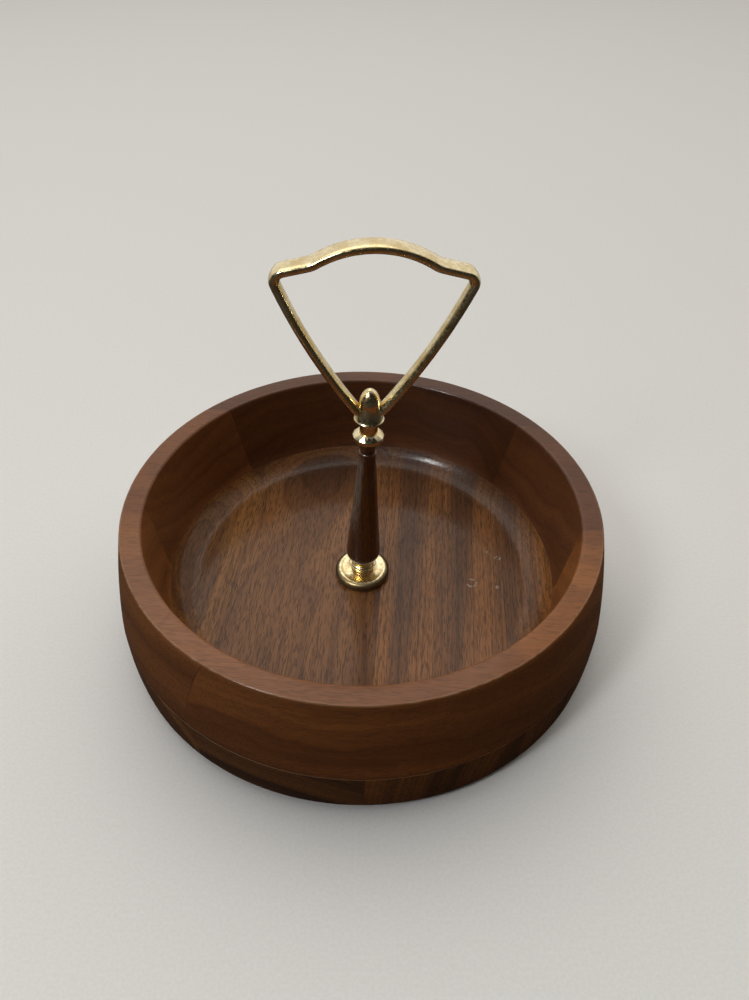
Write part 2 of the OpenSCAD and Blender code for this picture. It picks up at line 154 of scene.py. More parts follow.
# ---- Material helpers ---------------------------------------------------------------------
class Graph:
    """A node material, built by small calls that return sockets."""

    def __init__(self, name, **shader):
        self.material = bpy.data.materials.new(name)
        self.material.use_nodes = True
        self.tree = self.material.node_tree
        self.shader = self.tree.nodes["Principled BSDF"]
        for key, value in shader.items():
            self.shader.inputs[key.replace("_", " ")].default_value = value

    def feed(self, socket, value):
        if isinstance(value, bpy.types.NodeSocket):
            self.tree.links.new(value, socket)
        else:
            socket.default_value = value

    def node(self, kind, settings, *values, **named):
        made = self.tree.nodes.new(kind)
        for key, value in settings.items():
            setattr(made, key, value)
        for socket, value in zip(made.inputs, values):
            self.feed(socket, value)
        for key, value in named.items():
            self.feed(made.inputs[key], value)
        return made

    def place(self, turn=0.0):
        """The place on the object in metres, in directions turned about Z."""
        where = self.node("ShaderNodeTexCoord", {}).outputs["Object"]
        return self.node("ShaderNodeMapping", {}, Vector=where, Rotation=(0, 0, turn)).outputs[0]

    def split(self, vector):
        return self.node("ShaderNodeSeparateXYZ", {}, vector).outputs[:]

    def math(self, operation, *values):
        return self.node("ShaderNodeMath", {"operation": operation}, *values).outputs[0]

    def noise(self, x, y, z, detail=2.0):
        where = self.node("ShaderNodeCombineXYZ", {}, x, y, z).outputs[0]
        made = self.node("ShaderNodeTexNoise", {}, Vector=where, Scale=1.0, Detail=detail, Roughness=0.5)
        return made.outputs[0]

    def cloud(self, place, fine, shift=0.0, detail=2.0):
        """Noise over a place (x, y, z), with fine marks in a metre: one number, or one for each axis."""
        scales = fine if isinstance(fine, tuple) else (fine,) * 3
        scaled = [self.math("MULTIPLY_ADD", v, scale, shift) for v, scale in zip(place, scales)]
        return self.noise(*scaled, detail)

    def length(self, a, b):
        return self.math("SQRT", self.math("MULTIPLY_ADD", a, a, self.math("MULTIPLY", b, b)))

    def gap(self, a, b):
        """How far apart two values are."""
        return self.math("ABSOLUTE", self.math("SUBTRACT", a, b))

    def range(self, value, low, high, out_low=0.0, out_high=1.0):
        """value taken from low..high to out_low..out_high, smoothly and with its ends held."""
        kind = {"interpolation_type": "SMOOTHSTEP"}
        return self.node("ShaderNodeMapRange", kind, value, low, high, out_low, out_high).outputs[0]

    def mix(self, factor, a, b, blend="MIX"):
        made = self.node("ShaderNodeMix", {"data_type": "RGBA", "blend_type": blend})
        for socket, value in ((made.inputs[0], factor), (made.inputs[6], a), (made.inputs[7], b)):
            self.feed(socket, value)
        return made.outputs[2]

    def ramp(self, factor, *stops):
        """A grey ramp with its stops given as (place, value)."""
        made = self.node("ShaderNodeValToRGB", {}, factor)
        marks = made.color_ramp.elements
        while len(marks) < len(stops):
            marks.new(0.5)
        for mark, (place, value) in zip(marks, stops):
            mark.position = place
            mark.color = (value, value, value, 1)
        return made.outputs[0]

    def bump(self, height, depth):
        """Bump from a height of 0 to 1 that stands for depth millimetres."""
        return self.node("ShaderNodeBump", {}, Height=height, Distance=depth * MM, Strength=1.0).outputs[0]

    def finish(self, colour, roughness, normal):
        self.feed(self.shader.inputs["Base Color"], colour)
        self.feed(self.shader.inputs["Roughness"], roughness)
        self.feed(self.shader.inputs["Normal"], normal)
        return self.material


def rgb(red, green, blue):
    return (red, green, blue, 1.0)


# ---- Materials: colours are linear red, green and blue -------------------------------------
def edge_highlights_and_wear(g, place, streak, colour):
    """Painted highlights: lighter lines on the broken edges at the glue seam and on the outer edge of the
    rim, which stand in for light caught on those edges. On the rim they are partly also the paling where
    hands rub.
    """
    x, y, z = place
    out = g.length(x, y)
    # The painted highlight at the seam shows less on the inside wall
    share = g.range(out, 110 * MM, 120 * MM, 0.15, 1.0)
    # A lighter line along the glue seam: a painted highlight
    highlight_and_wear = g.math("MULTIPLY", g.range(g.gap(z, seam_z * MM), 0.1 * MM, 0.4 * MM, 0.5, 0.0), share)
    colour = g.mix(highlight_and_wear, colour, rgb(0.36, 0.20, 0.10))
    # A lighter line along the rim's outer edge: a painted highlight, partly also rubbed wear
    off = g.math("ADD", g.gap(out, rim_r * MM), g.gap(z, rim_z * MM))
    highlight_and_wear = g.math("MULTIPLY", g.range(off, 0.3 * MM, 1.0 * MM, 0.5, 0.0), g.range(streak, 0.3, 0.6))
    return g.mix(highlight_and_wear, colour, rgb(0.40, 0.23, 0.12))


def dry_drips(g, place, drips, colour, roughness):
    """Drips that have dried from the middle, so that their edges are palest. Each is (x, y, radius)."""
    x, y = place[:2]
    blots = g.range(g.cloud(place, 500.0, 0.0, 3.0), 0.48, 0.6)
    for middle_x, middle_y, radius in drips:
        off = g.length(g.math("SUBTRACT", x, middle_x * MM), g.math("SUBTRACT", y, middle_y * MM))
        edge = g.range(g.gap(off, radius * MM), 0.1 * MM, 0.8 * MM, 0.6, 0.0)
        mark = g.math("MULTIPLY", edge, blots)
        colour = g.mix(mark, colour, rgb(0.40, 0.35, 0.29))
        roughness = g.math("MULTIPLY_ADD", mark, 0.3, roughness)
    return colour, roughness


def painted_reflection_streak(g, place, direction, speckle, colour, roughness):
    """A painted reflection: a grey streak high on the side of the leaning spindle that faces a direction,
    which stands in for the window's mirror image in the glossy lacquer.
    """
    x, y, z = place
    middle = g.math("MULTIPLY_ADD", g.math("SUBTRACT", z, floor_z * MM), -math.tan(post_lean), x)
    across = g.math("MULTIPLY", y, math.sin(direction))
    toward = g.math("MULTIPLY_ADD", middle, math.cos(direction), across)
    side = g.range(g.math("DIVIDE", toward, g.length(middle, y)), 0.72, 0.97)
    high = g.math("MULTIPLY", g.range(z, 50 * MM, 75 * MM), g.range(z, 100 * MM, 107 * MM, 1.0, 0.0))
    mark = g.math("MULTIPLY", g.math("MULTIPLY", side, high), g.range(speckle, 0.3, 0.62, 0.15, 0.8))
    # Painted reflection: grey mixed into the wood's colour on that side
    colour = g.mix(mark, colour, rgb(0.24, 0.215, 0.17))
    return colour, g.math("MULTIPLY_ADD", mark, 0.3, roughness)


def walnut(name, axis, pith, light, dark, ring=3.4, sway=5.0, wave=7.0, seed=0.0, figure=0.5,
           open_pores=0.6, bands=75.0, fibres=0.45, glue=(), coat=0.36, rough=0.45, drips=(), reflection_side=None):
    """Satin walnut, from light to dark heartwood. axis is the way the grain runs, and pith is where the
    tree's middle lies (across, up) in millimetres. ring is the width of a growth ring, sway and wave are
    how far and how often the grain wanders, and bands is how many broad colour bands there are in a metre.
    figure, open_pores and fibres are how strongly the rings, pores and fibres show. glue holds the places
    of the glue lines across the boards. drips are the marks of dried drips. reflection_side is the direction
    of
    the painted reflection on the spindle: a grey streak that stands in for the window's mirror image."""
    ring_shade, streak_shade, fibre_shine = rgb(0.40, 0.33, 0.32), rgb(0.62, 0.55, 0.55), rgb(1.4, 1.32, 1.25)
    pore_brown, glue_brown = rgb(0.030, 0.013, 0.006), rgb(0.03, 0.014, 0.008)
    g = Graph(name, **{"Coat Weight": coat, "Coat Roughness": 0.13, "Specular IOR Level": 0.12})
    place = g.split(g.place(grain_turn))
    x, y, z = place
    along, across, up = {"X": (x, y, z), "Y": (y, x, z), "Z": (z, x, y)}[axis]

    def grain(stretch, fine, shift, detail=2.0):
        """Noise whose marks are 1/stretch metres long and 1/fine metres wide."""
        return g.noise(g.math("MULTIPLY", along, stretch), g.math("MULTIPLY", across, fine),
                       g.math("MULTIPLY_ADD", up, fine, seed + shift), detail)

    def from_pith(value, centre, wander):
        shifted = g.math("SUBTRACT", value, (centre + sway) * MM)
        return g.math("MULTIPLY_ADD", wander, 2 * sway * MM, shifted)

    away = from_pith(across, pith[0], grain(wave, 13.0, 0.0))
    high = from_pith(up, pith[1], grain(wave, 13.0, 9.7))
    distance = g.length(away, high)

    # Growth rings of uneven width, each darkening towards its outer edge
    uneven = g.noise(g.math("MULTIPLY", distance, 110.0), seed, 0.0, 1.0)
    count = g.math("MULTIPLY_ADD", uneven, 2.2, g.math("DIVIDE", distance, ring * MM))
    late = g.ramp(g.math("FRACT", count), (0.0, 0.3), (0.1, 0.0), (0.6, 0.2), (0.93, 1.0), (1.0, 0.3))
    # Broad heartwood colours that follow the rings
    heart = g.noise(g.math("MULTIPLY", along, 3.0), g.math("MULTIPLY", distance, bands), seed, 3.0)
    fibre = grain(16.0, 1100.0, 3.1)
    streak = grain(4.0, 420.0, 5.3, 3.0)
    pore = g.range(grain(165.0, 1950.0, 7.9, 1.0), 0.51, 0.63)

    colour = g.mix(g.range(heart, 0.36, 0.64), light, dark)
    colour = g.mix(g.math("MULTIPLY", late, figure), colour, ring_shade, "MULTIPLY")
    colour = g.mix(g.range(streak, 0.35, 0.7, 0.0, fibres), colour, streak_shade, "MULTIPLY")
    colour = g.mix(g.range(fibre, 0.3, 0.7, 0.0, fibres), colour, fibre_shine, "MULTIPLY")
    colour = g.mix(g.math("MULTIPLY", pore, open_pores), colour, pore_brown)
    for line in glue:
        off = g.gap(across, line * MM)
        colour = g.mix(g.range(off, 0.05 * MM, 0.22 * MM, 0.45, 0.0), colour, glue_brown)
    roughness = g.math("MULTIPLY_ADD", fibre, 0.12, g.math("MULTIPLY_ADD", pore, 0.2, rough))
    # Lighter seam and rim edge lines: painted highlights, on the rim partly also rubbed wear
    if axis != "Z":
        colour = edge_highlights_and_wear(g, place, streak, colour)
    if drips:
        colour, roughness = dry_drips(g, place, drips, colour, roughness)
    # A painted reflection: a grey streak on the spindle's side
    if reflection_side is not None:
        colour, roughness = painted_reflection_streak(g, place, reflection_side, grain(160.0, 1500.0, 2.2, 3.0), colour, roughness)

    height = g.math("SUBTRACT", g.math("MULTIPLY", fibre, 0.3), pore)
    normal = g.bump(height, 0.03)
    g.feed(g.shader.inputs["Coat Normal"], normal)
    return g.finish(colour, roughness, normal)


def brass(name, seed=0.0, rough=0.16, dull_share=0.5, tarnish=None):
    """Lacquered brass plate over a casting: mottled, a little uneven, with dull patches and fine scratches.
    tarnish is the distance from the bowl's axis beyond which the plate has turned dark."""
    pale, deep, dull = rgb(0.87, 0.76, 0.50), rgb(0.70, 0.56, 0.30), rgb(0.52, 0.38, 0.17)
    speck_brown, tarnish_brown = rgb(0.20, 0.13, 0.06), rgb(0.085, 0.060, 0.026)
    g = Graph(name, Metallic=1.0)
    place = g.split(g.place())
    patches = g.cloud(place, 1000.0 / 7.0, seed, 3.0)
    mottle = g.cloud(place, 1000.0 / 1.6, seed + 4.0, 4.0)
    specks = g.range(g.cloud(place, 1000.0 / 0.7, seed + 8.0), 0.66, 0.74)
    scratch = g.cloud(place, (350.0, 3500.0, 900.0))
    colour = g.mix(g.range(patches, 0.35, 0.65), pale, deep)
    colour = g.mix(g.range(mottle, 0.42, 0.66, 0.0, dull_share), colour, dull)
    colour = g.mix(g.math("MULTIPLY", specks, 0.4), colour, speck_brown)
    polish = g.range(mottle, 0.35, 0.7, rough, rough + 0.14)
    roughness = g.math("ADD", polish, g.math("MULTIPLY", specks, 0.2))
    if tarnish:
        edge = g.math("MULTIPLY_ADD", mottle, 0.8 * MM, g.length(*place[:2]))
        old = g.range(edge, (tarnish + 0.2) * MM, (tarnish + 0.9) * MM, 0.0, 0.85)
        colour = g.mix(old, colour, tarnish_brown)
        roughness = g.math("MULTIPLY_ADD", old, 0.2, roughness)
    uneven = g.math("MULTIPLY_ADD", mottle, 0.3, g.math("MULTIPLY", patches, 1.5))
    height = g.math("MULTIPLY_ADD", scratch, 0.1, uneven)
    return g.finish(colour, roughness, g.bump(height, 0.04))


def metal(name, tint, dull, seed=0.0, rough=0.28, brushed=1.0):
    """Plated or plain steel: faint clouds, fine lines and a few dull spots."""
    g = Graph(name, Metallic=1.0)
    place = g.split(g.place())
    haze = g.cloud(place, 160.0, seed, 3.0)
    line = g.cloud(place, (300.0, 4000.0, 1500.0))
    spots = g.range(g.cloud(place, 900.0, seed), 0.64, 0.74)
    colour = g.mix(g.range(haze, 0.3, 0.7), tint, dull)
    colour = g.mix(g.math("MULTIPLY", spots, 0.5), colour, rgb(0.12, 0.10, 0.08))
    roughness = g.math("ADD", g.range(haze, 0.3, 0.7, rough, rough + 0.15), g.math("MULTIPLY", spots, 0.3))
    return g.finish(colour, roughness, g.bump(g.math("MULTIPLY", line, brushed), 0.01))


def plywood(name):
    """Oiled birch plywood: pale faces with long soft grain, and brown and pale plies at the edge."""
    ply_pair = 2.5 * MM      # one pale and one brown ply
    g = Graph(name, **{"Specular IOR Level": 0.35})
    place = g.split(g.place(grain_turn))
    ply = g.math("FRACT", g.math("MULTIPLY", place[2], 1.0 / ply_pair))
    layer = g.range(g.gap(ply, 0.5), 0.22, 0.28)
    grain = g.cloud(place, (6.0, 170.0, 400.0), 0.0, 4.0)
    fibre = g.cloud(place, (60.0, 2500.0, 2500.0))
    colour = g.mix(g.range(grain, 0.3, 0.7), rgb(0.46, 0.31, 0.18), rgb(0.34, 0.21, 0.11))
    colour = g.mix(g.math("MULTIPLY", layer, 0.35), colour, rgb(0.2, 0.11, 0.05))
    colour = g.mix(g.range(fibre, 0.4, 0.75, 0.0, 0.5), colour, rgb(0.6, 0.5, 0.45), "MULTIPLY")
    return g.finish(colour, g.range(fibre, 0.3, 0.7, 0.5, 0.65), g.bump(fibre, 0.04))


def rubber(name):
    """Black rubber with a fine moulded grain and a little dust."""
    g = Graph(name, **{"Specular IOR Level": 0.3})
    place = g.split(g.place())
    grit = g.cloud(place, 2200.0)
    dust = g.cloud(place, 220.0, 0.0, 3.0)
    colour = g.mix(g.range(dust, 0.5, 0.8), rgb(0.014, 0.013, 0.012), rgb(0.05, 0.045, 0.04))
    return g.finish(colour, g.range(dust, 0.3, 0.7, 0.6, 0.8), g.bump(grit, 0.05))


# ---- Walnut bowl --------------------------------------------------------------------------
def cove_angle(z):
    return math.degrees(math.acos(1 - (z - floor_z) / cove_r))


def cove(low, high, steps):
    """Points on the cove from one height down to another."""
    top, bottom = cove_angle(high), cove_angle(low)
    return arc(cove_start_r, floor_z + cove_r, cove_r, top - 90, bottom - 90, steps)


def ring_outline():
    """The upper ring, from the seam up the outside, over the rim and down the inside to the seam."""
    def wall(t):
        return (seam_r + (rim_r - seam_r) * t + wall_belly * 4 * t * (1 - t), seam_z + ring_h * t)

    lean = math.degrees(math.atan((seam_r - rim_r - 4 * wall_belly) / ring_h))
    start, end = seam_edge_r / ring_h, 1 - rim_edge_r / ring_h
    outside = [wall(start + (end - start) * i / 16) for i in range(17)]
    edge = seam_edge_r
    low_edge = [(seam_r - edge, seam_z), (seam_r - 0.3 * edge, seam_z + 0.3 * edge)]
    outer_edge = arc(rim_r - rim_edge_r, rim_z - rim_edge_r, rim_edge_r, 15 + lean, 90, 6)
    inner_edge = arc(inner_r + inner_edge_r, rim_z - inner_edge_r, inner_edge_r, 90, 172, 8)
    inside = [(inner_r + (crease_r - inner_r) * t, rim_z + (crease_z - rim_z) * t) for t in (0.1, 0.4, 0.7)]
    return low_edge + outside + outer_edge + inner_edge + inside + cove(seam_z, crease_z, 14)


def lower_outline():
    """The lower layer: floor, recess underneath, rounded foot, side and the lower part of the cove."""
    edge = seam_edge_r
    recess = [(bore_r, recess_z), (recess_r, recess_z), (recess_r, ground_z + recess_edge),
              (recess_r + recess_edge, ground_z)]
    foot = arc(seam_r - foot_taper - foot_edge_r, ground_z + foot_edge_r, foot_edge_r, -90, -6, 7)
    side = [(seam_r - knee_in, ground_z + knee_h), (seam_r, seam_z - straight_side),
            (seam_r, seam_z - edge), (seam_r - edge, seam_z)]
    return [(bore_r, floor_z)] + recess + foot + side + cove(floor_z, seam_z, 14)


def glue_plane(direction, place):
    """A point on the plane across one of the boards' directions, at a place along it, and its normal."""
    turned = Matrix.Rotation(-grain_turn, 3, "Z")
    return turned @ (Vector(direction) * (place * MM)), turned @ Vector(direction)


def board(whole, node, low, high, material, side=None):
    """One board of the bowl: a copy of the whole layer kept between two planes, which may be None.
    side is an extra plane to keep."""
    bm = whole.copy()
    if low:
        cut(bm, *low)
    if high:
        cut(bm, high[0], -high[1])
    if side:
        cut(bm, *side)
    piece("turned_" + node, bm, "bowl", node, material)


def build_ring():
    """Six pieces of four boards that run left to right."""
    front, middle, back = [glue_plane((0, 1, 0), ring_glue[k]) for k in ("front", "middle", "back")]
    right = glue_plane((1, 0, 0), 0)
    left = (right[0], -right[1])
    lines = {k: (v,) for k, v in ring_glue.items()}
    # These boards are plainer and glossier than those of the floor, with broad soft figure
    plain = {"ring": 11.0, "sway": 15.0, "wave": 21.0, "figure": 0.3, "open_pores": 0.3, "fibres": 0.3,
             "bands": 32.0, "coat": 0.5}
    wood = {
        "front": walnut(
            "walnut_ring_front", "X", (-128, -70), rgb(0.290, 0.104, 0.024), rgb(0.175, 0.058, 0.013),
            seed=11, glue=lines["middle"], **plain),
        "middle_front": walnut(
            "walnut_ring_middle_front", "X", (-95, -45), rgb(0.275, 0.100, 0.025), rgb(0.165, 0.055, 0.013),
            seed=23, glue=lines["front"] + lines["middle"], **plain),
        "middle_back": walnut(
            "walnut_ring_middle_back", "X", (45, 130), rgb(0.205, 0.071, 0.019), rgb(0.115, 0.037, 0.009),
            seed=37, glue=lines["middle"] + lines["back"], **plain),
        "back": walnut(
            "walnut_ring_back", "X", (130, -30), rgb(0.150, 0.049, 0.012), rgb(0.085, 0.026, 0.006),
            seed=41, glue=lines["back"], **plain),
    }
    boards = (
        ("rim_front", None, front, "front", None),
        ("rim_front_left", front, middle, "middle_front", left),
        ("rim_front_right", front, middle, "front", right),
        ("rim_back_left", middle, back, "middle_back", left),
        ("rim_back_right", middle, back, "middle_back", right),
        ("rim_back", back, None, "back", None),
    )
    whole = lathe(ring_outline(), lathe_steps)
    for node, low, high, kind, side in boards:
        board(whole, node, low, high, wood[kind], side)
    whole.free()


def build_floor():
    """Four boards that run front to back."""
    left, middle, right = [glue_plane((1, 0, 0), floor_glue[k]) for k in ("left", "middle", "right")]
    lines = {k: (v,) for k, v in floor_glue.items()}
    drips = ((60.0, -3.0, 2.6), (74.0, -5.0, 0.8), (75.0, 17.0, 1.4), (70.0, 21.0, 0.6), (77.0, 10.0, 0.5))
    wood = {
        "left": walnut(
            "walnut_floor_left", "Y", (-120, -20), rgb(0.270, 0.115, 0.026), rgb(0.105, 0.040, 0.011),
            seed=53, glue=lines["left"]),
        "middle_left": walnut(
            "walnut_floor_middle_left", "Y", (-40, -60), rgb(0.220, 0.092, 0.026), rgb(0.078, 0.032, 0.013),
            seed=61, sway=8.0, glue=lines["left"] + lines["middle"]),
        "middle_right": walnut(
            "walnut_floor_middle_right", "Y", (150, 0), rgb(0.245, 0.098, 0.024), rgb(0.095, 0.037, 0.011),
            seed=73, ring=2.8, sway=3.0, drips=drips, glue=lines["middle"] + lines["right"]),
        "right": walnut(
            "walnut_floor_right", "Y", (180, 10), rgb(0.235, 0.092, 0.021), rgb(0.090, 0.035, 0.010),
            seed=83, ring=3.0, glue=lines["right"]),
    }
    boards = (("left", None, left), ("middle_left", left, middle), ("middle_right", middle, right),
              ("right", right, None))
    whole = lathe(lower_outline(), lathe_steps)
    for name, low, high in boards:
        board(whole, "floor_board_" + name, low, high, wood[name])
    whole.free()


# ---- Post: heights are above the bowl's floor, along the leaning post ---------------------
flange_h = 5.3
flange_r = 14.6
flange_top_r = 12.4      # where the rolled rim starts
flange_dish_r = 9.0
flange_boss_r = 7.4
ferrule_r = 6.0
ferrule_lip_r = 7.2
ferrule_lip_h = 8.8      # top of the lip
ferrule_neck_r = 5.6
ferrule_cap_r = 6.1      # small ring under the spindle
ferrule_h = 12.0
spindle_foot_r = 5.5
bulge_h = 18.5
bulge_r = 9.0
taper_power = 1.15       # above 1 the spindle's cone narrows late
taper_hollow = 0.12      # how far the cone's sides are hollowed, as a share of its swell
spindle_neck_h = 86.5
spindle_neck_r = 3.5
spindle_groove_r = 1.6   # groove round the neck
spindle_top = 91.4
bead_h = 6.0
bead_r = 7.45
bead_face_r = 5.2        # flat rings at the bead's ends
bead_facets = 14         # facets in a row
bead_edge = 0.14         # worn edges of the facets
neck_r = 4.4
neck_waist_h = 101.0
hub_base = 104.4
hub_lip_r = 7.1
hub_lip_t = 0.8
hub_skirt_r = 6.7
hub_waist_h = 113.0      # the skirt ends here and the nose starts
hub_waist_r = 4.9
hub_tip = 121.0
nose_power = 0.6         # how blunt the nose is


def build_flange(material):
    """A rolled rim, a shallow dish and a low boss under the ferrule."""
    rolled = arc(flange_top_r - 0.2, 2.6, flange_r - flange_top_r + 0.2, -20, 78, 10)
    outline = [(bore_r, 0), (flange_r - 0.6, 0), (flange_r - 0.15, 0.7)] + rolled + [
        (flange_top_r - 0.5, flange_h - 0.12), (flange_top_r - 1.1, flange_h - 0.35),
        (flange_top_r - 2.2, flange_h - 0.5), (flange_dish_r, flange_h - 0.5),
        (flange_boss_r, flange_h - 0.35), (ferrule_r + 0.4, flange_h - 0.1),
        (ferrule_r, flange_h - 0.02), (bore_r, flange_h - 0.02)]
    bm = lathe(outline, post_steps)
    bm.transform(Matrix.Translation((0, 0, floor_z * MM)))
    piece("dished_flange", bm, "bowl", "flange", material, 40.0)


def build_ferrule(material):
    """A short tube, a wide lip, a neck and a small ring that the spindle stands on."""
    lip = arc(ferrule_lip_r - 0.4, ferrule_lip_h - 0.42, 0.4, -70, 80, 8)
    cap = arc(ferrule_cap_r - 0.35, ferrule_h - 0.42, 0.35, -80, 80, 8)
    tube = [(bore_r, flange_h), (ferrule_r - 0.2, flange_h), (ferrule_r, flange_h + 0.2),
            (ferrule_r, ferrule_lip_h - 1.7), (ferrule_r + 0.25, ferrule_lip_h - 1.2),
            (ferrule_lip_r - 0.5, ferrule_lip_h - 0.95)]
    neck = [(ferrule_neck_r + 0.4, ferrule_lip_h + 0.05), (ferrule_neck_r, ferrule_lip_h + 0.4),
            (ferrule_neck_r, ferrule_h - 1.1)]
    outline = tube + lip + neck + cap + [(spindle_foot_r, ferrule_h), (bore_r, ferrule_h)]
    bm = on_post(lathe(outline, post_steps))
    piece("stepped_ferrule", bm, "bowl", "post_ferrule", material)


def build_spindle(material):
    """A bulge on a small foot, a long cone with hollowed sides, a groove and a flared end under the bead."""
    cone_top, cone_top_r = spindle_neck_h - 2.5, spindle_neck_r + 0.5
    under_r = spindle_foot_r - 0.4

    def taper(t):
        hollow = 1 - taper_hollow * math.sin(math.pi * t)
        return cone_top_r + (bulge_r - cone_top_r) * (1 - t ** taper_power) * hollow

    foot = [(under_r + (bulge_r - under_r) * math.cos(math.radians(a)),
             bulge_h + (bulge_h - ferrule_h) * math.sin(math.radians(a))) for a in range(-78, 1, 6)]
    cone = [(taper(i / 40), bulge_h + (cone_top - bulge_h) * i / 40) for i in range(1, 41)]
    groove = arc(spindle_neck_r + spindle_groove_r, spindle_neck_h, spindle_groove_r, 235, 130, 10)
    outline = [(bore_r, ferrule_h), (spindle_foot_r, ferrule_h)] + foot + cone + groove + [
        (neck_r - 0.3, spindle_top - 2.4), (neck_r, spindle_top - 1.2), (neck_r + 0.2, spindle_top),
        (bore_r, spindle_top)]
    bm = on_post(lathe(outline, post_steps))
    piece("turned_spindle", bm, "bowl", "spindle", material, 50.0)


def build_bead(material):
    """Cut like a gem: three bands of flat facets, and a flat ring at each end."""
    levels = [(bead_face_r, 0.0), (bead_r, bead_h * 0.36), (bead_r, bead_h * 0.64), (bead_face_r, bead_h)]
    bm = bmesh.new()
    rings = []
    for k, (r, h) in enumerate(levels):
        # Every other ring is turned by half a facet
        turns = [2 * math.pi * (i + k % 2 * 0.5) / bead_facets for i in range(bead_facets)]
        height = (spindle_top + h) * MM
        rings.append([bm.verts.new((r * MM * math.cos(a), r * MM * math.sin(a), height)) for a in turns])
    for k, (low, high) in enumerate(zip(rings, rings[1:])):
        for i in range(bead_facets):
            j = (i + 1) % bead_facets
            tip, heel = (high[j], low[i]) if k % 2 else (high[i], low[j])
            bm.faces.new((low[i], low[j], tip))
            bm.faces.new((high[i], heel, high[j]))
    bm.faces.new(rings[0])
    bm.faces.new(rings[-1])
    bmesh.ops.recalc_face_normals(bm, faces=bm.faces)
    bmesh.ops.bevel(bm, geom=bm.edges[:], offset=bead_edge * MM, segments=2, profile=0.5, affect="EDGES")
    piece("gem_bead", on_post(bm), "bowl", "faceted_bead", material, 12.0)


# ---- Handle: the loop's centre line is a chain of tangent arcs in an upright plane ---------
handle_top = 187.7       # centre line at the crown
loop_t = 4.8             # thickness, in the loop's plane
bar_depth = 10.0         # depth of the bar, across the loop's plane
arm_depth = 7.5
edge_r = 0.8             # rounded edges of the loop's outer face
face_crown = 0.15        # how far the middle of that face stands out
bar_round = 0.35         # how far the bar's section goes from flat-topped (0) to an ellipse (1)
crown_r, crown_half = 46.0, 31.0
shoulder_r, shoulder_slope = 13.0, 13.0
run = 10.0               # straight run between shoulder and corner
corner_r = 4.5
arm_r, arm_top_lean, arm_foot_lean = 277.0, 22.0, 36.8


def polar(r, degrees):
    """A step of length r, at an angle measured from straight up towards the right."""
    return Vector((r * math.sin(math.radians(degrees)), r * math.cos(math.radians(degrees))))


def bend(centre, r, start, sweep, steps):
    """Points of the centre line on an arc, each with its outward normal. r is below 0 where the arc bends
    the other way."""
    angles = [start + sweep * i / steps for i in range(steps + 1)]
    return [(centre + polar(r, a), polar(1, a)) for a in angles]


def smooth(t):
    return t * t * (3 - 2 * t)


def half_line():
    """The right half of the centre line, from the crown down to the hub, as (point, outward normal, share),
    where share goes from 0 on the bar to 1 on the arm."""
    arm_start_angle = 90 + arm_top_lean
    crown_c = Vector((0, handle_top - crown_r))
    shoulder_c = crown_c + polar(crown_r + shoulder_r, crown_half)
    run_start = shoulder_c - polar(shoulder_r, shoulder_slope)
    run_end = run_start + polar(run, 90 + shoulder_slope)
    corner_c = run_end - polar(corner_r, shoulder_slope)
    arm_c = corner_c + polar(corner_r, arm_start_angle) - polar(arm_r, arm_start_angle)

    crown = bend(crown_c, crown_r, 0, crown_half, 32)
    shoulder = bend(shoulder_c, -shoulder_r, crown_half, shoulder_slope - crown_half, 10)[1:]
    straight = [(run_start.lerp(run_end, i / 8), polar(1, shoulder_slope)) for i in range(1, 8)]
    corner = bend(corner_c, corner_r, shoulder_slope, arm_start_angle - shoulder_slope, 24)
    arm = bend(arm_c, arm_r, arm_start_angle, arm_foot_lean - arm_top_lean, 80)[1:]
    line = [(p, n, 0.0) for p, n in crown + shoulder + straight]
    line += [(p, n, smooth(i / 24)) for i, (p, n) in enumerate(corner)]
    return line + [(p, n, 1.0) for p, n in arm]


def loop_section(depth, roundness):
    """Points (outward, along the depth) of the loop's section, from flat outside and rounded inside at a
    roundness of 0 to a full ellipse at 1."""
    half_t, half_d = loop_t / 2, depth / 2
    face = half_t - face_crown
    half_flat, half_belly = 4, 10      # steps on half of the flat face and half of the rounded inside
    shares = [i / half_flat for i in range(-half_flat, half_flat + 1)]
    flat = [(face + face_crown * (1 - u * u), (half_d - edge_r) * u) for u in shares]
    edge = arc(face - edge_r, half_d - edge_r, edge_r, 0, 90, 6)[1:]
    belly = []
    for i in range(1, 2 * half_belly):
        a = math.pi * i / (2 * half_belly)
        belly.append((face - edge_r - (2 * half_t - edge_r - face_crown) * math.sin(a), half_d * math.cos(a)))
    other_edge = [(t, -d) for t, d in reversed(edge)]
    flat_topped = flat + edge + belly + other_edge
    turns = [2 * math.pi * (i - half_flat) / len(flat_topped) for i in range(len(flat_topped))]
    return [(t + (half_t * math.cos(a) - t) * roundness, d + (half_d * math.sin(a) - d) * roundness)
            for (t, d), a in zip(flat_topped, turns)]


def loop_mesh():
    """The section swept along both halves of the centre line."""
    half = half_line()
    mirrored = [(Vector((-p.x, p.y)), Vector((-n.x, n.y)), s) for p, n, s in reversed(half[1:])]
    bm = bmesh.new()
    rings = []
    for point, normal, share in mirrored + half:
        depth = bar_depth + (arm_depth - bar_depth) * share
        rings.append([])
        for t, d in loop_section(depth, bar_round + (1 - bar_round) * share):
            place = point + normal * t
            rings[-1].append(bm.verts.new((place.x * MM, d * MM, place.y * MM)))
    count = len(rings[0])
    for low, high in zip(rings, rings[1:]):
        for i in range(count):
            j = (i + 1) % count
            bm.faces.new((low[i], low[j], high[j], high[i]))
    bm.faces.new(rings[0])
    bm.faces.new(rings[-1])
    bmesh.ops.recalc_face_normals(bm, faces=bm.faces)
    return bm


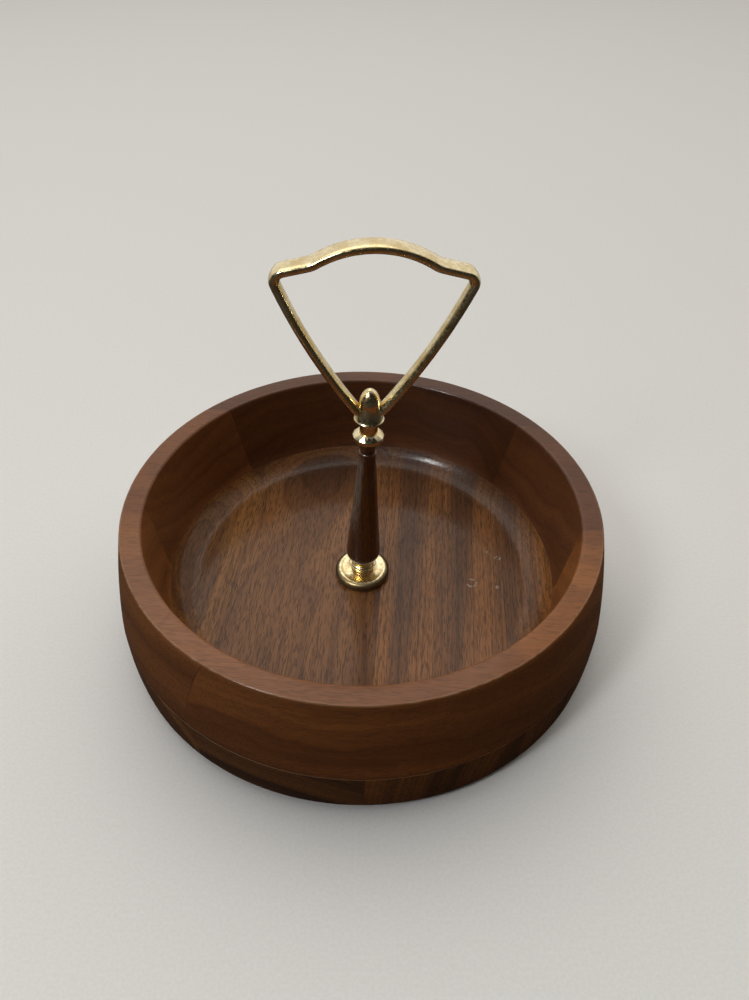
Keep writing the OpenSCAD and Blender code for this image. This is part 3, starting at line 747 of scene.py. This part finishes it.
def hub_outline():
    """Bullet-shaped hub: a thin lip, a skirt that narrows upwards, and a rounded nose."""
    skirt_h = hub_waist_h - hub_base - hub_lip_t
    skirt = [(hub_waist_r + (hub_skirt_r - hub_waist_r) * s * s, hub_waist_h - skirt_h * s)
             for s in (1 - i / 14 for i in range(15))]
    nose = []
    for i in range(1, 25):
        t = math.sin(math.pi / 2 * i / 24)
        r = hub_waist_r * max(0.0, 1 - t * t) ** nose_power
        nose.append((r, hub_waist_h + (hub_tip - hub_waist_h) * t))
    neck_base = spindle_top + bead_h
    neck = [(0, neck_base), (neck_r - 0.2, neck_base), (neck_r, neck_base + 0.2),
            (neck_r - 0.3, neck_waist_h), (neck_r, hub_base - 0.5), (neck_r + 0.5, hub_base)]
    lip = [(hub_lip_r - 0.35, hub_base), (hub_lip_r - 0.08, hub_base + 0.1), (hub_lip_r, hub_base + 0.3),
           (hub_lip_r - 0.06, hub_base + 0.5), (hub_lip_r - 0.2, hub_base + 0.66)]
    return neck + lip + skirt + nose


def build_handle(material):
    """The loop and the hub, joined into one casting."""
    parts = []
    for name, bm in (("loop", loop_mesh()), ("hub", lathe(hub_outline(), post_steps, closed=False))):
        mesh = bpy.data.meshes.new(name)
        bm.to_mesh(mesh)
        bm.free()
        parts.append(bpy.data.objects.new(name, mesh))
        bpy.context.scene.collection.objects.link(parts[-1])
    union = parts[0].modifiers.new("union", "BOOLEAN")
    union.operation = "UNION"
    union.solver = "EXACT"
    union.object = parts[1]
    bpy.context.view_layer.update()
    graph = bpy.context.evaluated_depsgraph_get()
    joined = bmesh.new()
    joined.from_mesh(parts[0].evaluated_get(graph).to_mesh())
    for part in parts:
        bpy.data.objects.remove(part)
    piece("loop_handle", on_post(joined, handle_turn), "bowl", "handle", material, 40.0)


# ---- Swivel and rod: CAD shapes with broken edges ------------------------------------------
def dress(node, material, edge):
    """Gives a CAD node its finish, and breaks its sharp edges by edge millimetres."""
    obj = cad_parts[node]
    if not obj.material_slots:
        obj.data.materials.append(material)
    for place in obj.material_slots:
        place.material = material
    if edge:
        bevel = obj.modifiers.new("broken_edges", "BEVEL")
        bevel.width = edge * MM
        bevel.segments = 2
        bevel.limit_method = "ANGLE"
        bevel.angle_limit = math.radians(40)


def dress_hidden_parts():
    zinc = metal("zinc_plate", rgb(0.66, 0.67, 0.66), rgb(0.52, 0.52, 0.48), 2.0)
    bearing = metal("bearing_sheet", rgb(0.60, 0.61, 0.62), rgb(0.46, 0.47, 0.48), 5.0)
    balls = metal("ball_finish", rgb(0.72, 0.72, 0.73), rgb(0.62, 0.62, 0.63), 7.0, 0.1, 0.0)
    finishes = (
        ("threaded_rod", "zinc_steel", zinc, 0.0),
        ("rod_washer", "zinc_steel", zinc, 0.12),
        ("rod_nut", "zinc_steel", zinc, 0.15),
        ("top_plate_screws", "zinc_steel", zinc, 0.0),
        ("bottom_plate_screws", "zinc_steel", zinc, 0.0),
        ("bearing_top_plate", "bearing_steel", bearing, 0.15),
        ("bearing_bottom_plate", "bearing_steel", bearing, 0.15),
        ("bearing_crimp_ring", "bearing_steel", bearing, 0.1),
        ("bearing_balls", "ball_steel", balls, 0.0),
        ("base_disc", "base_plywood", plywood("birch_plywood"), 0.3),
        ("rubber_feet", "foot_rubber", rubber("foot_rubber"), 0.2),
    )
    for node, slot, material, edge in finishes:
        dress(node, material, edge)


# ---- Floor, light and camera --------------------------------------------------------------
floor_half = 6.0         # in metres
window_tint = (0.97, 0.985, 1.0)
camera_yaw, camera_pitch, camera_roll = -1.16, 42.18, 1.14      # in degrees
camera_lens = 28.41      # focal length on a sensor 36 mm wide
camera_back = 295.7      # from the bowl's axis towards the viewer
camera_up = 269.2        # above the rim


def build_stage():
    """To the eye the floor is pale paper. What it sends up to the bowl is as dim and warm as a wooden table,
    and its mirror image in the brass is dark, with a pale wall behind."""
    h = floor_half
    mesh = bpy.data.meshes.new("studio_floor")
    mesh.from_pydata([(-h, -h, 0), (h, -h, 0), (h, h, 0), (-h, h, 0)], [], [(0, 1, 2, 3)])
    g = Graph("studio_paper", **{"Specular IOR Level": 0.2})
    place = g.split(g.place())
    fleck = g.cloud(place, (700.0, 700.0, 1.0))
    paper = g.mix(g.range(fleck, 0.3, 0.7), rgb(0.84, 0.83, 0.81), rgb(0.80, 0.79, 0.77))
    mirrored = g.mix(g.range(place[1], 0.15, 0.45), rgb(0.035, 0.028, 0.02), rgb(0.80, 0.77, 0.70))
    rays = g.node("ShaderNodeLightPath", {}).outputs
    colour = g.mix(rays["Is Camera Ray"], rgb(0.20, 0.125, 0.06), paper)
    colour = g.mix(rays["Is Glossy Ray"], colour, mirrored)
    mesh.materials.append(g.finish(colour, 0.8, g.bump(fleck, 0.02)))
    # Seen from below, the floor lets the underside show
    clear = g.node("ShaderNodeBsdfTransparent", {}).outputs[0]
    below = g.node("ShaderNodeNewGeometry", {}).outputs["Backfacing"]
    shown = g.node("ShaderNodeMixShader", {}, below, g.shader.outputs[0], clear).outputs[0]
    g.feed(g.tree.nodes["Material Output"].inputs["Surface"], shown)
    floor = bpy.data.objects.new("studio_floor", mesh)
    bpy.context.scene.collection.objects.link(floor)


def area_light(name, direction, distance, size, power, tint, shape="RECTANGLE"):
    """A light at a distance (in metres) in a direction from the origin, which it faces."""
    light = bpy.data.lights.new(name, "AREA")
    light.shape = shape
    light.size, light.size_y = size
    light.energy = power
    light.color = tint
    obj = bpy.data.objects.new(name, light)
    bpy.context.scene.collection.objects.link(obj)
    toward = Vector(direction).normalized()
    obj.location = toward * distance
    obj.rotation_mode = "QUATERNION"
    obj.rotation_quaternion = toward.to_track_quat("Z", "Y")
    return obj


def build_lights():
    """A window at the left and a ceiling."""
    window = {"direction": (-0.50, -0.46, 0.72), "distance": 1.7, "size": (0.25, 0.45), "tint": window_tint}
    area_light("window", power=5.5, **window)
    # The window's mirror image in lacquer and brass is stronger than the light it sends in
    glint = area_light("window_glint", power=24.0, **window)
    glint.visible_diffuse = False
    area_light("ceiling", (-0.15, 0.4, 1.0), 2.2, (1.8, 1.8), 11.0, (1.0, 0.985, 0.96))
    # Lies hidden between the floor and the bowl, and lets the underside be looked at from below
    area_light("underlight", (0.0, 0.0, -1.0), -0.4 * MM, (0.21, 0.21), 0.095, (1.0, 0.98, 0.95), "ELLIPSE")


def build_world():
    """A room that is pale behind the bowl and dim in front of it. Seen directly, it is a pale backdrop."""
    world = bpy.data.worlds.new("studio")
    bpy.context.scene.world = world
    world.use_nodes = True
    tree = world.node_tree
    background = tree.nodes["Background"]
    where = tree.nodes.new("ShaderNodeTexCoord")
    toward_wall = tree.nodes.new("ShaderNodeVectorMath")
    toward_wall.operation = "DOT_PRODUCT"
    toward_wall.inputs[1].default_value = (0.0, 0.87, 0.49)
    room = tree.nodes.new("ShaderNodeValToRGB")
    room.color_ramp.interpolation = "EASE"
    dim, pale = room.color_ramp.elements
    dim.position, dim.color = 0.0, rgb(0.02, 0.018, 0.016)
    pale.position, pale.color = 0.62, rgb(0.88, 0.85, 0.80)
    seen = tree.nodes.new("ShaderNodeLightPath")
    backdrop = tree.nodes.new("ShaderNodeMixRGB")
    backdrop.inputs[2].default_value = rgb(0.70, 0.69, 0.66)
    for start, end in (
        (where.outputs["Generated"], toward_wall.inputs[0]),
        (toward_wall.outputs["Value"], room.inputs[0]),
        (seen.outputs["Is Camera Ray"], backdrop.inputs[0]),
        (room.outputs[0], backdrop.inputs[1]),
        (backdrop.outputs[0], background.inputs[0]),
    ):
        tree.links.new(start, end)
    background.inputs[1].default_value = 1.0


def build_camera():
    """Above the front of the bowl, looking down at it, as a hand-held camera would."""
    yaw, pitch, roll = [math.radians(a) for a in (camera_yaw, camera_pitch, camera_roll)]
    ahead = Vector((-math.sin(yaw) * math.cos(pitch), math.cos(yaw) * math.cos(pitch), -math.sin(pitch)))
    level = Vector((math.cos(yaw), math.sin(yaw), 0))
    upward = level.cross(ahead)
    right = level * math.cos(roll) + upward * math.sin(roll)
    top = upward * math.cos(roll) - level * math.sin(roll)
    data = bpy.data.cameras.new("camera")
    data.sensor_width = 36
    data.lens = camera_lens
    data.clip_start = 0.01
    camera = bpy.data.objects.new("camera", data)
    bpy.context.scene.collection.objects.link(camera)
    turn = Matrix((right, top, -ahead)).transposed().to_4x4()
    camera.matrix_world = Matrix.Translation((0, -camera_back * MM, (rim_z + camera_up) * MM)) @ turn
    bpy.context.scene.camera = camera


build_ring()
build_floor()
build_flange(brass("brass_flange", 5.0, 0.2, 0.6, tarnish=flange_top_r))
# The ferrule's dull mottle is set heavy, so it is darker overall: partly dulled brass, partly painted shade
# standing in for the shade in its narrow neck above the lip
build_ferrule(brass("brass_ferrule", 9.0, 0.2, 0.9))
# The spindle's grey streak, on the side facing 215 degrees, is a painted reflection of the window
build_spindle(walnut("walnut_spindle", "Z", (14, 3), rgb(0.120, 0.040, 0.009), rgb(0.055, 0.018, 0.005),
                     ring=2.2, sway=2.0, seed=97, coat=1.0, rough=0.3, reflection_side=math.radians(215)))
build_bead(brass("brass_bead", 13.0, 0.1, 0.4))
build_handle(brass("brass_loop", 1.0))
dress_hidden_parts()
build_stage()
build_lights()
build_world()
build_camera()
bpy.context.scene.view_settings.view_transform = "Standard"
